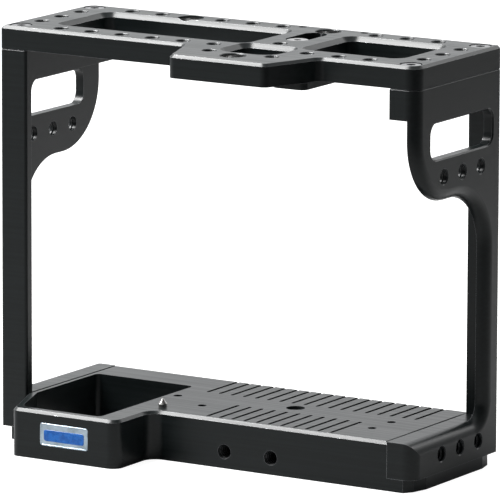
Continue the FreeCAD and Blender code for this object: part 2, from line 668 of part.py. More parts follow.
# ---------------------------------------------------------------- captive camera screw
def camera_screw():
    low = length("camera_head_low")
    neck = low + "camera_head_tall"
    head = cylinder("camera_head", MOUNT_X, length("camera_y"), low, "camera_head",
                    "camera_head_tall")
    shank = cylinder("camera_shank", MOUNT_X, length("camera_y"), neck, "quarter_screw",
                     length("camera_tip_high") - neck)
    long_slot = length("camera_head") + "coin_slot_over"
    coin_slot = primitive("Box", "coin_slot", MOUNT_X - long_slot / 2,
                          length("camera_y") - length("coin_slot_wide") / 2, low,
                          Length=long_slot, Width="coin_slot_wide", Height="coin_slot_deep")
    return cut("camera_screw", fuse("camera_blank", [head, shank]), coin_slot)


def camera_screw_washer():
    """A thrust washer that lies on the screw's head, round its shank."""
    low = length("camera_head_low") + "camera_head_tall"
    outer = cylinder("thrust_outer", MOUNT_X, length("camera_y"), low, "camera_washer",
                     "camera_washer_thick")
    inner = cylinder("thrust_inner", MOUNT_X, length("camera_y"), low, "camera_washer_hole",
                     "camera_washer_thick")
    return cut("camera_screw_washer", outer, inner)


def camera_screw_ring():
    low = length("ring_low") + "ring_play"
    outer = cylinder("ring_outer", MOUNT_X, length("camera_y"), low, "ring_across", "ring_thick")
    inner = cylinder("ring_inner", MOUNT_X, length("camera_y"), low, "ring_hole", "ring_thick")
    return cut("camera_screw_ring", outer, inner)


# ---------------------------------------------------------------- sprung locating pin
def locating_pin():
    x, y, point = length("pin_x"), length("pin_y"), length("pin_point")
    flange = cylinder("pin_flange", x, y, "flange_low", "flange_across",
                      length("flange_high") - "flange_low")
    shank = cylinder("pin_shank", x, y, "flange_high", "pin_across",
                     length("pin_high") - point - "flange_high")
    tip = primitive("Cone", "pin_cone", x, y, length("pin_high") - point,
                    Radius1=length("pin_across") / 2, Radius2=length("pin_tip") / 2,
                    Height=point)
    return fuse("locating_pin", [flange, shank, tip])


def pin_spring():
    """A round-wire helix from the plug to the pin's flange, its ends half a wire inside."""
    wire, mean = length("spring_wire"), length("spring_mean") / 2
    low, high = length("plug_high") + wire / 2, length("flange_low") - wire / 2
    helix = doc.addObject("Part::Helix", "spring_path")
    bind(helix, "Radius", mean)
    bind(helix, "Height", high - low)
    bind(helix, "Pitch", Length((high.value - low.value) / DIMENSIONS["spring_turns"],
                                f"(({high.formula} - {low.formula}) / Sizes.spring_turns)"))
    section = doc.addObject("Part::Circle", "spring_section")
    bind(section, "Radius", wire / 2)
    section.Placement = Placement(Vector(mean.value, 0, 0), Rotation(Vector(1, 0, 0), 90))
    section.setExpression(".Placement.Base.x", mean.formula)
    coil = doc.addObject("Part::Sweep", "pin_spring")
    coil.Sections, coil.Spine = [section], (helix, ["Edge1"])
    coil.Solid, coil.Frenet = True, True
    spot = (length("pin_x"), FRONT + "pin_y", low)
    coil.Placement = Placement(Vector(*[part.value for part in spot]), Rotation())
    for letter, part in zip("xyz", spot):
        coil.setExpression(f".Placement.Base.{letter}", part.formula)
    coil.Label = "pin_spring"
    return coil


def pin_plug():
    x, y = length("pin_x"), length("pin_y")
    blank = cylinder("plug_blank", x, y, "plug_low", "plug_across",
                     length("plug_high") - "plug_low")
    socket = hexagon("plug_hex", x, y, "plug_low", "plug_socket", "plug_socket_deep")
    return cut("pin_plug", blank, socket)


# ---------------------------------------------------------------- shoe clamp
def shoe_clamp_plate():
    """A thin plate under the top plate, notched so that it leaves the tab's window clear."""
    body = new_body("shoe_clamp_plate", z=PLATE_LOW - "clamp_thick")
    left, right = MOUNT_X - "clamp_half", MOUNT_X + "clamp_half"
    notch_left, notch_right = MOUNT_X - "clamp_notch_half", MOUNT_X + "clamp_notch_half"
    plan = [(left, "clamp_front"), (notch_left, "clamp_front"),
            (notch_left, "clamp_notch_back"), (notch_right, "clamp_notch_back"),
            (notch_right, "clamp_front"), (right, "clamp_front"), (right, "clamp_back"),
            (left, "clamp_back")]
    pad(body, outline(sketch_on(body, "XY_Plane"), plan), "clamp_thick")
    dress(body, "Fillet", any_of(*[straight_at("Z", x, y) for x, y in plan]), "clamp_corner")
    pocket(body, circles(sketch_on(body, "XY_Plane", "clamp_thick"),
                         [(MOUNT_X, "slot_start")], "clamp_bore"))
    return body


def shoe_foot():
    """The flanged foot that enters the camera's accessory shoe, under the clamp plate."""
    body = new_body("shoe_foot")
    top = PLATE_LOW - "clamp_thick"
    front, back = length("shoe_front"), length("shoe_front") + "shoe_long"
    neck_low = top - "shoe_neck_tall"
    foot_low = neck_low - "shoe_tall"
    pad(body, rectangle(sketch_on(body, "XY_Plane", foot_low), MOUNT_X - "shoe_half", front,
                        MOUNT_X + "shoe_half", back), "shoe_tall")
    pad(body, rectangle(sketch_on(body, "XY_Plane", neck_low), MOUNT_X - "shoe_neck_half",
                        front, MOUNT_X + "shoe_neck_half", back), "shoe_neck_tall")
    pocket(body, circles(sketch_on(body, "XY_Plane", top), [(MOUNT_X, "slot_start")],
                         "clamp_bore"))
    return body


def shoe_clamp_screw():
    y, seat = length("slot_start"), length("height") - "slot_sink" + "washer_thick"
    head = cylinder("clamp_head", MOUNT_X, y, seat, "clamp_head", "clamp_head_tall")
    shank = cylinder("clamp_shank", MOUNT_X, y, "clamp_screw_low", "clamp_shank",
                     seat - "clamp_screw_low")
    socket = hexagon("clamp_hex", MOUNT_X, y, seat + "clamp_head_tall" - "clamp_socket_deep",
                     "clamp_socket", "clamp_socket_deep")
    return cut("shoe_clamp_screw", fuse("clamp_blank", [head, shank]), socket)


def shoe_clamp_washer():
    y, low = length("slot_start"), length("height") - "slot_sink"
    outer = cylinder("washer_outer", MOUNT_X, y, low, "washer_across", "washer_thick")
    inner = cylinder("washer_inner", MOUNT_X, y, low, "washer_hole", "washer_thick")
    return cut("shoe_clamp_washer", outer, inner)


# ---------------------------------------------------------------- badge
def badge():
    body = new_body("badge")
    front = length("nose")
    pad(body, rounded_rectangle(sketch_on(body, "XZ_Plane", front), "badge_left",
                                "badge_low", "badge_right", "badge_high", "badge_corner"),
        "badge_thick", reverse=True)
    return body


PARTS = [
    top_plate(),
    side_plate("side_plate_right", turned=False),
    side_plate("side_plate_left", turned=True),
    base_plate(),
    top_corner_screws(),
    base_corner_screws(),
    dowels("top_dowels", "dowel_inset_y", PLATE_LOW, "dowel_half"),
    dowels("base_dowels", "foot_dowel_inset_y", "lip_thick", "foot_dowel_half"),
    thread_inserts("top_thread_inserts", TOP_INSERTS,
                   length("height") - "insert_sink" - "insert_length"),
    thread_inserts("base_thread_inserts", UNDER_INSERTS, "insert_sink"),
    camera_screw(),
    camera_screw_washer(),
    camera_screw_ring(),
    locating_pin(),
    pin_spring(),
    pin_plug(),
    shoe_clamp_plate(),
    shoe_foot(),
    shoe_clamp_screw(),
    shoe_clamp_washer(),
    badge(),
]
doc.recompute()

for item in doc.Objects:
    if "Invalid" in item.State or "Error" in item.State:
        raise RuntimeError(f"{item.Label}: {item.State}")
for part in PARTS:
    if part.Shape.isNull() or not part.Shape.isValid() or not part.Shape.Solids:
        raise RuntimeError(f"{part.Label}: bad shape")
    part.Shape.exportStep(f"parts/{part.Label}.step")
    print(part.Label, len(part.Shape.Solids), round(part.Shape.Volume, 1))
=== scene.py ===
# %% [markdown]
# # A machined camera cage, dressed for a studio picture
#
# The cage is four milled aluminium plates, anodised black and bolted into an open frame.
# Its shapes come from the CAD frame and stay as they are. Blender adds what a drawing
# leaves out: the threads inside the holes, the grain and wear of the anodised skin, the
# ground steel of the small parts, a badge, and a soft white studio to see them in.
#
# Everything is in metres and in the CAD frame's own axes: +X to the right, -Y to the front
# and +Z up.

# %% Tools and the fixed frame
import json
import math

import bmesh
import bpy
import numpy as np
from mathutils import Matrix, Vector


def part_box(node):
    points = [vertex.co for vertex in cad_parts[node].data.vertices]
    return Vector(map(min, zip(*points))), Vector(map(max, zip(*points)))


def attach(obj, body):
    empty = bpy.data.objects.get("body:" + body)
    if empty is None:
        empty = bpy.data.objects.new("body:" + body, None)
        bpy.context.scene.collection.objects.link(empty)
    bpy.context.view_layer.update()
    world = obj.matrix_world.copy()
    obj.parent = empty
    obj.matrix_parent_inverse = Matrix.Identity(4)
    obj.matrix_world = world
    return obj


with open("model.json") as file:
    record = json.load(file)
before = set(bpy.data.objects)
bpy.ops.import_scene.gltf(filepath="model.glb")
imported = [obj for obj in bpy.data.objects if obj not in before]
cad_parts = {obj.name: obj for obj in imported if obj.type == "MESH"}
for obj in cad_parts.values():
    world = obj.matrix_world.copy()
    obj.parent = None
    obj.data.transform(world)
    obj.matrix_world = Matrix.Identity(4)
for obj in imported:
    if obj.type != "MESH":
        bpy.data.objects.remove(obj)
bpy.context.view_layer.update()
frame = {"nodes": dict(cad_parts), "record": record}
MM = 0.001
slot_of = {row["node"]: row["material_slot"] for row in frame["record"]["subparts"]}
mounts = {mount["name"]: mount for mount in frame["record"]["mounts"]}

# %% [markdown]
# ## The camera
#
# A long lens from a few metres away keeps the cage's edges nearly parallel. The camera
# stands to the right of the front and a little above it. A Track To constraint could aim
# it; three axes worked out from two angles say more plainly where it looks, and leave room
# for the small roll of a camera that isn't quite level.

# %% Camera
AZIMUTH, ELEVATION, ROLL = (math.radians(angle) for angle in (31.773, 10.822, 0.196))
DISTANCE = 2.3749
AIM = np.array([-0.5, 7.2, 75.0]) * MM
SIDEWAYS, UPWARDS = 3.26 * MM, -1.85 * MM
SENSOR = 36.0
FOCAL_PER_WIDTH = 13.4637


def camera_axes(azimuth, elevation, roll):
    """Columns right, up and back. Back points from the aim to the camera, right is level
    before the roll, and the roll turns right and up about back."""
    back = np.array([math.sin(azimuth) * math.cos(elevation),
                     -math.cos(azimuth) * math.cos(elevation), math.sin(elevation)])
    right = np.array([math.cos(azimuth), math.sin(azimuth), 0.0])
    up = np.cross(back, right)
    turned_right = math.cos(roll) * right + math.sin(roll) * up
    turned_up = -math.sin(roll) * right + math.cos(roll) * up
    return np.column_stack([turned_right, turned_up, back])


axes = camera_axes(AZIMUTH, ELEVATION, ROLL)
stand = np.eye(4)
stand[:3, :3] = axes
stand[:3, 3] = AIM + axes @ np.array([SIDEWAYS, UPWARDS, DISTANCE])
lens = bpy.data.cameras.new("studio_camera")
lens.sensor_width = SENSOR
lens.lens = FOCAL_PER_WIDTH * SENSOR
lens.clip_start, lens.clip_end = 0.1, 30.0
camera = bpy.data.objects.new("studio_camera", lens)
camera.matrix_world = Matrix(stand.tolist())
bpy.context.collection.objects.link(camera)
bpy.context.scene.camera = camera
print("camera stands at", stand[:3, 3].round(3).tolist())

# %% [markdown]
# ## Small helpers for node trees
#
# Every material and the world are built from the same few moves: add a node and set it,
# do arithmetic, and ease one value into another. Naming those moves once keeps the cells
# that follow short.

# %% Node helpers
def look_node(tree, kind, **settings):
    """Adds a shader node. Each setting is an attribute of the node or one of its sockets."""
    node = tree.nodes.new(kind)
    for name, value in settings.items():
        if hasattr(node, name):
            setattr(node, name, value)
        else:
            node.inputs[name.replace("_", " ")].default_value = value
    return node


def feed(tree, socket, value):
    """Links a socket to another socket, or sets it to a number or colour."""
    if isinstance(value, (int, float, tuple)):
        socket.default_value = value
    else:
        tree.links.new(value, socket)


def calculate(tree, operation, first, second=0.0):
    """A Math node on two values, each a socket or a number."""
    node = look_node(tree, "ShaderNodeMath", operation=operation)
    feed(tree, node.inputs[0], first)
    feed(tree, node.inputs[1], second)
    return node.outputs[0]


def ramp(tree, value, low, high, out_low=0.0, out_high=1.0):
    """A smooth step of a value from low to high."""
    node = look_node(tree, "ShaderNodeMapRange", interpolation_type="SMOOTHSTEP")
    for label, number in (("From Min", low), ("From Max", high),
                          ("To Min", out_low), ("To Max", out_high)):
        node.inputs[label].default_value = number
    tree.links.new(value, node.inputs["Value"])
    return node.outputs["Result"]


def blend_value(tree, factor, low, high):
    """A float that goes from low to high with a factor, each a socket or a number."""
    node = look_node(tree, "ShaderNodeMix", data_type="FLOAT")
    for number, value in zip((0, 2, 3), (factor, low, high)):
        feed(tree, node.inputs[number], value)
    return node.outputs[0]


def blend_colour(tree, factor, low, high):
    """A colour that goes from low to high with a factor, each a socket or a colour."""
    node = look_node(tree, "ShaderNodeMix", data_type="RGBA")
    for number, value in zip((0, 6, 7), (factor, low, high)):
        feed(tree, node.inputs[number], value)
    return node.outputs[2]


# %% [markdown]
# ## The studio
#
# Black anodising has almost no colour of its own: what shows is what it mirrors. So the
# light is built for its reflections. Level faces mirror the backdrop low behind the cage,
# bevels that lean forward mirror whatever hangs overhead, and upright front faces mirror
# the floor in front. The backdrop is bright, one softbox overhead is brighter still, and
# the floor gives back less light in front than behind, so that upright faces read black
# beside brilliant edges. Small hard lamps would give dots and sharp shadows, so there are
# none.

# %% World
WORLD_BEHIND, WORLD_FRONT = 1.14, 0.20
WORLD_RIGHT = 0.22


def studio_world():
    """Brightness eases from front to back along Y and falls off towards the right, where
    the outer side faces look. The view itself sees plain white."""
    world = bpy.data.worlds.new("studio_world")
    world.use_nodes = True
    tree = world.node_tree
    direction = look_node(tree, "ShaderNodeTexCoord").outputs["Generated"]
    split = look_node(tree, "ShaderNodeSeparateXYZ")
    tree.links.new(direction, split.inputs[0])
    around = ramp(tree, split.outputs["Y"], -0.75, 0.35, WORLD_FRONT, WORLD_BEHIND)
    flagged = ramp(tree, split.outputs["X"], 0.15, 0.60, 1.0, WORLD_RIGHT)
    around = calculate(tree, "MULTIPLY", around, flagged)
    seen = look_node(tree, "ShaderNodeLightPath").outputs["Is Camera Ray"]
    background = tree.nodes["Background"]
    tree.links.new(blend_value(tree, seen, around, 1.0), background.inputs["Strength"])
    background.inputs["Color"].default_value = (0.98, 0.99, 1.0, 1.0)
    bpy.context.scene.world = world


studio_world()
bpy.context.scene.view_settings.view_transform = "Standard"
print("world:", WORLD_FRONT, "in front to", WORLD_BEHIND, "behind")


# %% Softboxes
def softbox(name, place, aim, wide, tall, brightness):
    """A rectangular area lamp that faces its aim. Its power is brightness times pi times
    its area, so that two boxes of equal brightness look equally bright in a mirror."""
    lamp = bpy.data.lights.new(name, "AREA")
    lamp.shape = "RECTANGLE"
    lamp.size, lamp.size_y = wide, tall
    lamp.energy = brightness * math.pi * wide * tall
    item = bpy.data.objects.new(name, lamp)
    away = np.array(place, float) - np.array(aim, float)
    away /= np.linalg.norm(away)
    across = np.cross([0.0, 1.0, 0.0], away)
    across /= np.linalg.norm(across)
    turn = np.eye(4)
    turn[:3, :3] = np.column_stack([across, np.cross(away, across), away])
    turn[:3, 3] = place
    item.matrix_world = Matrix(turn.tolist())
    bpy.context.collection.objects.link(item)
    return item


OVERHEAD_BRIGHT, REAR_BRIGHT = 30.0, 1.6
softbox("overhead_box", (-0.75, -0.28, 1.25), (0.0, 0.0, 0.08), 1.0, 0.62, OVERHEAD_BRIGHT)
softbox("rear_box", (0.36, 1.60, 1.02), (0.0, 0.0, 0.05), 1.0, 0.7, REAR_BRIGHT)

# %% Floor
FLOOR_HALF = 8.0
FLOOR_FRONT, FLOOR_BEHIND = 0.26, 0.66
FLOOR_RIGHT = 0.30
FLOOR_SEEN, FLOOR_GLOW = 0.30, 0.93
FLOOR_LOW = -0.0001


def floor_paper():
    """White paper in the view. For reflected light its colour eases from dim in front to
    pale behind, which does the work of black flags laid in front of the cage."""
    paper = bpy.data.materials.new("floor_paper")
    paper.use_nodes = True
    tree = paper.node_tree
    skin = tree.nodes["Principled BSDF"]
    split = look_node(tree, "ShaderNodeSeparateXYZ")
    tree.links.new(look_node(tree, "ShaderNodeTexCoord").outputs["Object"], split.inputs[0])
    shade = ramp(tree, split.outputs["Y"], -0.25, 0.45, FLOOR_FRONT, FLOOR_BEHIND)
    flagged = ramp(tree, split.outputs["X"], 0.05, 0.60, 1.0, FLOOR_RIGHT)
    shade = calculate(tree, "MULTIPLY", shade, flagged)
    seen = look_node(tree, "ShaderNodeLightPath").outputs["Is Camera Ray"]
    shade = blend_value(tree, seen, shade, FLOOR_SEEN)
    tree.links.new(shade, skin.inputs["Base Color"])
    skin.inputs["Roughness"].default_value = 0.9
    skin.inputs["Specular IOR Level"].default_value = 0.2
    skin.inputs["Emission Strength"].default_value = 1.0
    glow = calculate(tree, "MULTIPLY", seen, FLOOR_GLOW)
    tree.links.new(glow, skin.inputs["Emission Color"])
    return paper


floor_mesh = bpy.data.meshes.new("floor")
floor_mesh.from_pydata([(x * FLOOR_HALF, y * FLOOR_HALF, FLOOR_LOW)
                        for x, y in ((-1, -1), (1, -1), (1, 1), (-1, 1))], [], [(0, 1, 2, 3)])
floor_mesh.materials.append(floor_paper())
floor = bpy.data.objects.new("floor", floor_mesh)
bpy.context.collection.objects.link(floor)
print("floor spans", 2 * FLOOR_HALF, "m")

# %% [markdown]
# ## Shared shader groups
#
# Several finishes share the same small effects, so each effect is a node group with named
# inputs: marks left by the milling cutter, wear along sharp edges with the line for a painted
# edge highlight, and dust. A group puts out masks and heights only; each material decides
# what they do to its colour and gloss.

# %% Shader group helpers
def new_group(name, inputs, outputs):
    """A shader node group with float or vector sockets. Inputs are (name, default)."""
    group = bpy.data.node_groups.new(name, "ShaderNodeTree")
    for label, default in inputs:
        kind = "NodeSocketVector" if isinstance(default, tuple) else "NodeSocketFloat"
        socket = group.interface.new_socket(label, in_out="INPUT", socket_type=kind)
        socket.default_value = default
    for label, kind in outputs:
        group.interface.new_socket(label, in_out="OUTPUT", socket_type=kind)
    start = group.nodes.new("NodeGroupInput")
    end = group.nodes.new("NodeGroupOutput")
    return group, start, end


def stretched_noise(tree, vector, stretch, scale, detail=2.0):
    """Noise on coordinates that are scaled by stretch, so that it draws out into streaks."""
    mapping = look_node(tree, "ShaderNodeMapping")
    mapping.inputs["Scale"].default_value = stretch
    tree.links.new(vector, mapping.inputs["Vector"])
    noise = look_node(tree, "ShaderNodeTexNoise", Scale=scale, Detail=detail, Roughness=0.6)
    tree.links.new(mapping.outputs[0], noise.inputs["Vector"])
    return noise.outputs[0]


# %% [markdown]
# ### Cutter marks
#
# A milling cutter leaves fine parallel lines along its path: along the length of the level
# and front faces, and along the depth of the end faces. Two noises drawn out into streaks
# stand for them, and the surface's own normal chooses between them.

# %% Cutter marks group
FINE_MARKS, BROAD_MARKS = 9000.0, 900.0
DRAWN_OUT = 0.012


def make_cutter_marks():
    """Height is the fine streaks and Tone the broad ones. Both run along X, or along Y
    where the face looks left or right."""
    group, start, end = new_group("cutter_marks", [("Coordinate", (0.0, 0.0, 0.0))],
                                  [("Height", "NodeSocketFloat"), ("Tone", "NodeSocketFloat")])
    geometry = look_node(group, "ShaderNodeNewGeometry")
    facing = look_node(group, "ShaderNodeSeparateXYZ")
    group.links.new(geometry.outputs["True Normal"], facing.inputs[0])
    end_face = ramp(group, calculate(group, "ABSOLUTE", facing.outputs["X"]), 0.5, 0.9)
    heights = []
    for scale in (FINE_MARKS, BROAD_MARKS):
        along_x = stretched_noise(group, start.outputs[0], (DRAWN_OUT, 1.0, 1.0), scale)
        along_y = stretched_noise(group, start.outputs[0], (1.0, DRAWN_OUT, 1.0), scale)
        heights.append(blend_value(group, end_face, along_x, along_y))
    group.links.new(heights[0], end.inputs["Height"])
    group.links.new(heights[1], end.inputs["Tone"])
    return group


CUTTER_MARKS = make_cutter_marks()
print("cutter marks group:", len(CUTTER_MARKS.nodes), "nodes")

# %% [markdown]
# ### Edge wear and painted edge highlight
#
# Anodising rubs off first where an edge is sharp, and bare aluminium shows as a pale broken
# line. A Bevel node finds those places: near an edge its softened normal leans away from the
# face's own normal. Noise breaks the line up so that only some stretches are worn. The whole
# unbroken line is put out as well, and the finishes paint a highlight along it.

# %% Edge wear and painted edge highlight group
EDGE_REACH = 0.14 * MM


def make_edge_wear_and_highlight():
    """Edge is how far the softened normal leans from the face's own; the finishes paint a
    highlight with it. Mask is Edge where a broken noise lies below Coverage, the worn places."""
    group, start, end = new_group(
        "edge_wear_and_highlight", [("Coordinate", (0.0, 0.0, 0.0)), ("Coverage", 0.5)],
        [("Mask", "NodeSocketFloat"), ("Edge", "NodeSocketFloat")])
    soft = look_node(group, "ShaderNodeBevel", samples=6, Radius=EDGE_REACH)
    geometry = look_node(group, "ShaderNodeNewGeometry")
    lean = look_node(group, "ShaderNodeVectorMath", operation="DOT_PRODUCT")
    group.links.new(soft.outputs[0], lean.inputs[0])
    group.links.new(geometry.outputs["True Normal"], lean.inputs[1])
    edge = ramp(group, lean.outputs["Value"], 0.995, 0.93)
    broken = stretched_noise(group, start.outputs["Coordinate"], (1.0, 1.0, 1.0), 260.0, 4.0)
    patch = calculate(group, "SUBTRACT", start.outputs["Coverage"], broken)
    worn = ramp(group, patch, -0.02, 0.10)
    group.links.new(calculate(group, "MULTIPLY", edge, worn), end.inputs["Mask"])
    group.links.new(edge, end.inputs["Edge"])
    return group


EDGE_WEAR_AND_HIGHLIGHT = make_edge_wear_and_highlight()
print("edge wear group:", len(EDGE_WEAR_AND_HIGHLIGHT.nodes), "nodes")

# %% [markdown]
# ### Dust
#
# A few pale specks and a faint uneven film lie on whatever faces up. The specks are the
# bright tips of a fine noise; the film is a slow one.

# %% Dust group
def make_dust():
    """Specks are the tips of a fine noise and Film is a slow one, both times how level the
    face is."""
    group, start, end = new_group("dust", [("Coordinate", (0.0, 0.0, 0.0))],
                                  [("Specks", "NodeSocketFloat"), ("Film", "NodeSocketFloat")])
    geometry = look_node(group, "ShaderNodeNewGeometry")
    facing = look_node(group, "ShaderNodeSeparateXYZ")
    group.links.new(geometry.outputs["True Normal"], facing.inputs[0])
    level = ramp(group, facing.outputs["Z"], 0.5, 0.95)
    fine = stretched_noise(group, start.outputs[0], (1.0, 1.0, 1.0), 1500.0, 1.0)
    slow = stretched_noise(group, start.outputs[0], (1.0, 1.0, 1.0), 45.0, 3.0)
    specks = calculate(group, "MULTIPLY", ramp(group, fine, 0.74, 0.80), level)
    film = calculate(group, "MULTIPLY", ramp(group, slow, 0.40, 0.68), level)
    group.links.new(specks, end.inputs["Specks"])
    group.links.new(film, end.inputs["Film"])
    return group


DUST = make_dust()
print("dust group:", len(DUST.nodes), "nodes")

# %% [markdown]
# ## Black anodising
#
# The skin is dyed oxide on fine-milled aluminium: nearly black, a little blue, satin rather
# than glossy. Along every edge the colour is painted paler and made a little metallic, a
# painted highlight standing in for light caught by the edge; in the few worn places bare
# metal shows where the oxide has rubbed off. Cutter marks drive a low bump and a small
# change of gloss.

# %% Anodised finish
def use_group(tree, group, coordinate, **values):
    """Places a shared group in a material, with its own values."""
    node = look_node(tree, "ShaderNodeGroup", node_tree=group)
    tree.links.new(coordinate, node.inputs["Coordinate"])
    for label, value in values.items():
        node.inputs[label].default_value = value
    return node


BARE_METAL = (0.62, 0.63, 0.65, 1.0)
# A paler colour painted along every edge: a painted highlight, not worn oxide.
PAINTED_EDGE_HIGHLIGHT = (0.20, 0.205, 0.215, 1.0)
PALE_DUST = (0.30, 0.29, 0.27, 1.0)
FILM_SHARE, SPECK_SHARE = 0.02, 0.22
EDGE_GLOSS, WORN_METAL = 0.26, 1.0


def anodised(name, dye=(0.0054, 0.0076, 0.0080, 1.0), gloss=0.31, coverage=0.38,
             shine=0.16):
    """Black anodised, milled aluminium. Shine is how metallic every edge is, under its painted
    highlight.
    """
    paint = bpy.data.materials.new(name)
    paint.use_nodes = True
    tree = paint.node_tree
    skin = tree.nodes["Principled BSDF"]
    place = look_node(tree, "ShaderNodeTexCoord").outputs["Object"]
    marks = use_group(tree, CUTTER_MARKS, place)
    wear_and_highlight_node = use_group(tree, EDGE_WEAR_AND_HIGHLIGHT, place, Coverage=coverage)
    dust = use_group(tree, DUST, place)

    tone = ramp(tree, marks.outputs["Tone"], 0.35, 0.65)
    darker = tuple(0.85 * part for part in dye[:3]) + (1.0,)
    paler = tuple(1.18 * part for part in dye[:3]) + (1.0,)
    colour = blend_colour(tree, tone, darker, paler)
    film = calculate(tree, "MULTIPLY", dust.outputs["Film"], FILM_SHARE)
    colour = blend_colour(tree, film, colour, PALE_DUST)
    specks = calculate(tree, "MULTIPLY", dust.outputs["Specks"], SPECK_SHARE)
    colour = blend_colour(tree, specks, colour, PALE_DUST)
    # Painted highlight: every edge is painted paler; the bare metal below is real wear.
    colour = blend_colour(tree, wear_and_highlight_node.outputs["Edge"], colour, PAINTED_EDGE_HIGHLIGHT)
    colour = blend_colour(tree, wear_and_highlight_node.outputs["Mask"], colour, BARE_METAL)
    tree.links.new(colour, skin.inputs["Base Color"])
    metal = blend_value(tree, wear_and_highlight_node.outputs["Edge"], 0.0, shine)
    metal = blend_value(tree, wear_and_highlight_node.outputs["Mask"], metal, WORN_METAL)
    tree.links.new(metal, skin.inputs["Metallic"])
    rough = blend_value(tree, tone, gloss - 0.03, gloss + 0.04)
    rough = blend_value(tree, wear_and_highlight_node.outputs["Edge"], rough, EDGE_GLOSS)
    tree.links.new(rough, skin.inputs["Roughness"])
    bump = look_node(tree, "ShaderNodeBump", Strength=0.20, Distance=0.006 * MM)
    tree.links.new(marks.outputs["Height"], bump.inputs["Height"])
    tree.links.new(bump.outputs[0], skin.inputs["Normal"])
    skin.inputs["Specular IOR Level"].default_value = 0.28
    return paint


print("bare metal under the anodising:", BARE_METAL[:3])

# %% [markdown]
# ## Steel, blackened and bare
#
# The screws, the thread inserts and the pin are turned steel. Fine grain in the gloss
# breaks up the highlights, slow stains keep a part from looking like one flat colour, and
# edges catch a brighter line. One function serves them all, with its own colour and gloss
# for each part.

# %% Steel finish
def steel(name, colour, gloss, bump_height=0.004):
    """Turned or ground steel: noise drawn out round the upright axis sets its gloss."""
    paint = bpy.data.materials.new(name)
    paint.use_nodes = True
    tree = paint.node_tree
    skin = tree.nodes["Principled BSDF"]
    place = look_node(tree, "ShaderNodeTexCoord").outputs["Object"]
    wear_and_highlight_node = use_group(tree, EDGE_WEAR_AND_HIGHLIGHT, place, Coverage=0.5)
    grain = stretched_noise(tree, place, (1.0, 1.0, 0.15), 3000.0)
    stain = ramp(tree, stretched_noise(tree, place, (1.0, 1.0, 1.0), 240.0), 0.35, 0.7)
    dim = tuple(0.7 * part for part in colour[:3]) + (1.0,)
    mixed = blend_colour(tree, stain, colour, dim)
    bright = tuple(min(1.0, 0.25 + part) for part in colour[:3]) + (1.0,)
    tree.links.new(blend_colour(tree, wear_and_highlight_node.outputs["Mask"], mixed, bright),
                   skin.inputs["Base Color"])
    tree.links.new(blend_value(tree, grain, gloss - 0.06, gloss + 0.10),
                   skin.inputs["Roughness"])
    bump = look_node(tree, "ShaderNodeBump", Strength=0.25, Distance=bump_height * MM)
    tree.links.new(grain, bump.inputs["Height"])
    tree.links.new(bump.outputs[0], skin.inputs["Normal"])
    skin.inputs["Metallic"].default_value = 1.0
    return paint


print("slots to finish:", len(set(slot_of.values())))

# %% [markdown]
# ## One finish for each part
#
# The record names a material slot for each part, so the finishes are kept in a table under
# those names. A CAD part keeps its mesh and only changes its material. The anodised parts
# share one recipe; the clamp is a little rougher, and the threads, which no hand rubs, wear
# less and are less metallic under the painted highlight on their edges.

# %% Finishes on the CAD parts
FINISHES = {
    "anodised_top": anodised("anodised_top"),
    "anodised_side": anodised("anodised_side"),
    "anodised_base": anodised("anodised_base"),
    "anodised_clamp": anodised("anodised_clamp", gloss=0.36, coverage=0.34),
    "anodised_thread": anodised("anodised_thread", gloss=0.40, coverage=0.30, shine=0.08),
    "black_screw": steel("black_screw", (0.30, 0.30, 0.31, 1.0), 0.26),
    "bright_screw": steel("bright_screw", (0.46, 0.46, 0.46, 1.0), 0.30),
    "dowel_steel": steel("dowel_steel", (0.60, 0.60, 0.58, 1.0), 0.22),
    "insert_steel": steel("insert_steel", (0.30, 0.30, 0.30, 1.0), 0.28),
    "camera_screw_steel": steel("camera_screw_steel", (0.42, 0.42, 0.42, 1.0), 0.30),
    "pin_steel": steel("pin_steel", (0.56, 0.55, 0.53, 1.0), 0.20),
    "spring_steel": steel("spring_steel", (0.46, 0.46, 0.47, 1.0), 0.26),
    "badge_metal": steel("badge_metal", (0.50, 0.60, 0.68, 1.0), 0.40),
}
for node, item in frame["nodes"].items():
    item.data.materials.clear()
    item.data.materials.append(FINISHES[slot_of[node]])
print("finishes:", len(FINISHES), "on", len(frame["nodes"]), "nodes")

# %% [markdown]
# ## Threads
#
# Each accessory hole is tapped, and the winding thread shows as thin bright lines just
# inside its mouth. The CAD hole is a plain bore. A bump could hint at the thread, but its
# outline against the dark bore would stay smooth, so the thread is real: a ridge with a
# triangular section, wound down the wall. A Screw modifier could wind it; a helix written
# as arrays gives the taper at both ends as well. The holes' places, directions and radii
# come from the record's mounts.

# %% Where the tapped holes are
SMALL_HOLE, LARGE_HOLE = 2.0 * MM, 3.5 * MM


def hole_rows(mount):
    """Centres of a mount's holes. A pair stands half a spacing either side of its point,
    along the first or second row axis that lies across the mount's axis."""
    centre = np.array(mount["pos_m"], float)
    if mount["kind"] == "threaded_hole":
        return centre[None, :]
    normal = int(np.argmax(np.abs(mount["axis"])))
    across = [number for number in range(3) if number != normal]
    dims = mount["dims"]
    key = "spacing_x_mm" if "spacing_x_mm" in dims else "spacing_y_mm"
    step = np.zeros(3)
    step[across[0 if key == "spacing_x_mm" else 1]] = 0.5 * dims[key] * MM
    return np.array([centre - step, centre + step])


